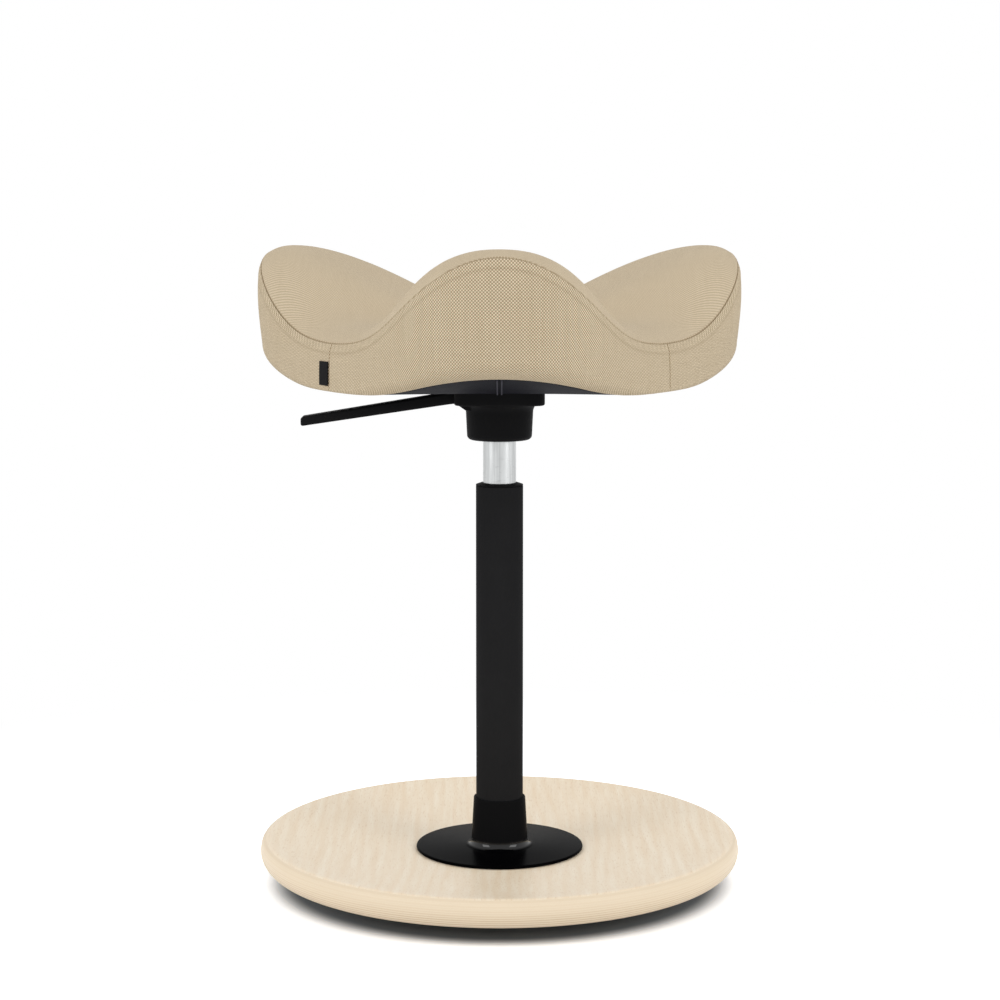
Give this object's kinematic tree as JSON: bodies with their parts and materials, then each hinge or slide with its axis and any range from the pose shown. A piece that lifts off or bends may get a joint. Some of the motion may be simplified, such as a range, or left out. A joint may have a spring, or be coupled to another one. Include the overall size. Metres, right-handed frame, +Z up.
{
  "type": "sit-stand stool",
  "caption": "Sit-stand stool with a lobed fabric saddle seat, a gas-lift column with a release lever, and a dished plywood base that rolls as it tilts.",
  "frame": {"origin": "on the floor at the middle of the rubber sole's flat foot, on the column's axis", "axes": "+Z up along the column, -Y towards the seat's front lobe, +X to the right of someone facing the front lobe, away from the lever"},
  "size_m": [0.4218, 0.4367, 0.5414],
  "materials": {
    "base_veneer": "clear-lacquered pale veneer over moulded plywood",
    "sole_rubber": "matt black moulded rubber",
    "column_paint": "satin black powder coat on steel",
    "zinc_hardware": "bright zinc-plated steel",
    "black_nylon": "finely textured black moulded plastic",
    "bearing_brass": "greased brass cage with steel balls",
    "lift_steel": "satin silver plated steel",
    "shell_plastic": "matt slate-grey moulded plastic",
    "seat_foam": "cream moulded foam",
    "seat_fabric": "tan coarse basket-weave upholstery",
    "tag_tape": "plain black woven tape"
  },
  "bodies": {
    "base": {"base_disc": "base_veneer", "floor_sole": "sole_rubber", "column_flange": "column_paint", "column_tube": "column_paint", "flange_washer_1": "zinc_hardware", "flange_washer_2": "zinc_hardware", "flange_washer_3": "zinc_hardware", "flange_washer_4": "zinc_hardware", "flange_nut_1": "zinc_hardware", "flange_nut_2": "zinc_hardware", "flange_nut_3": "zinc_hardware", "flange_nut_4": "zinc_hardware", "guide_bush": "black_nylon", "thrust_race_low": "zinc_hardware", "ball_cage": "bearing_brass"},
    "rod": {"thrust_race_high": "zinc_hardware", "rubber_bumper": "sole_rubber", "rod_clip": "zinc_hardware", "piston_rod": "lift_steel", "piston": "black_nylon"},
    "seat": {"lift_cylinder": "lift_steel", "rod_gland": "black_nylon", "valve_block": "zinc_hardware", "seat_hub": "black_nylon", "lever_pin": "zinc_hardware", "seat_screw_1": "zinc_hardware", "seat_screw_2": "zinc_hardware", "seat_screw_3": "zinc_hardware", "seat_screw_4": "zinc_hardware", "t_nut_1": "zinc_hardware", "t_nut_2": "zinc_hardware", "t_nut_3": "zinc_hardware", "t_nut_4": "zinc_hardware", "seat_shell": "shell_plastic", "seat_foam": "seat_foam", "cover_top": "seat_fabric", "cover_side_1": "seat_fabric", "cover_side_2": "seat_fabric", "cover_side_3": "seat_fabric", "label_tag": "tag_tape"},
    "lever": {"height_lever": "black_nylon"},
    "valve": {"release_pin": "zinc_hardware"}
  },
  "joints": [
    {"name": "seat_swivel", "type": "hinge", "parent": "base", "child": "rod", "pos_m": [0, 0, 0.042], "axis": [0, 0, 1], "continuous": true},
    {"name": "gas_lift", "type": "slide", "parent": "rod", "child": "seat", "axis": [0, 0, 1], "range_m": [0, 0.2]},
    {"name": "lever_lift", "type": "hinge", "parent": "seat", "child": "lever", "pos_m": [-0.022, 0, 0.41386], "axis": [0, 1, 0], "range_deg": [0, 5], "stiffness_Nm_per_rad": 2, "springref_deg": -17.19},
    {"name": "valve_press", "type": "slide", "parent": "seat", "child": "valve", "axis": [0, 0, -1], "range_m": [0, 0.002]}
  ],
  "couplings": [
    {"joint": "valve_press", "follows": "lever_lift", "m_per_rad": 0.022}
  ]
}
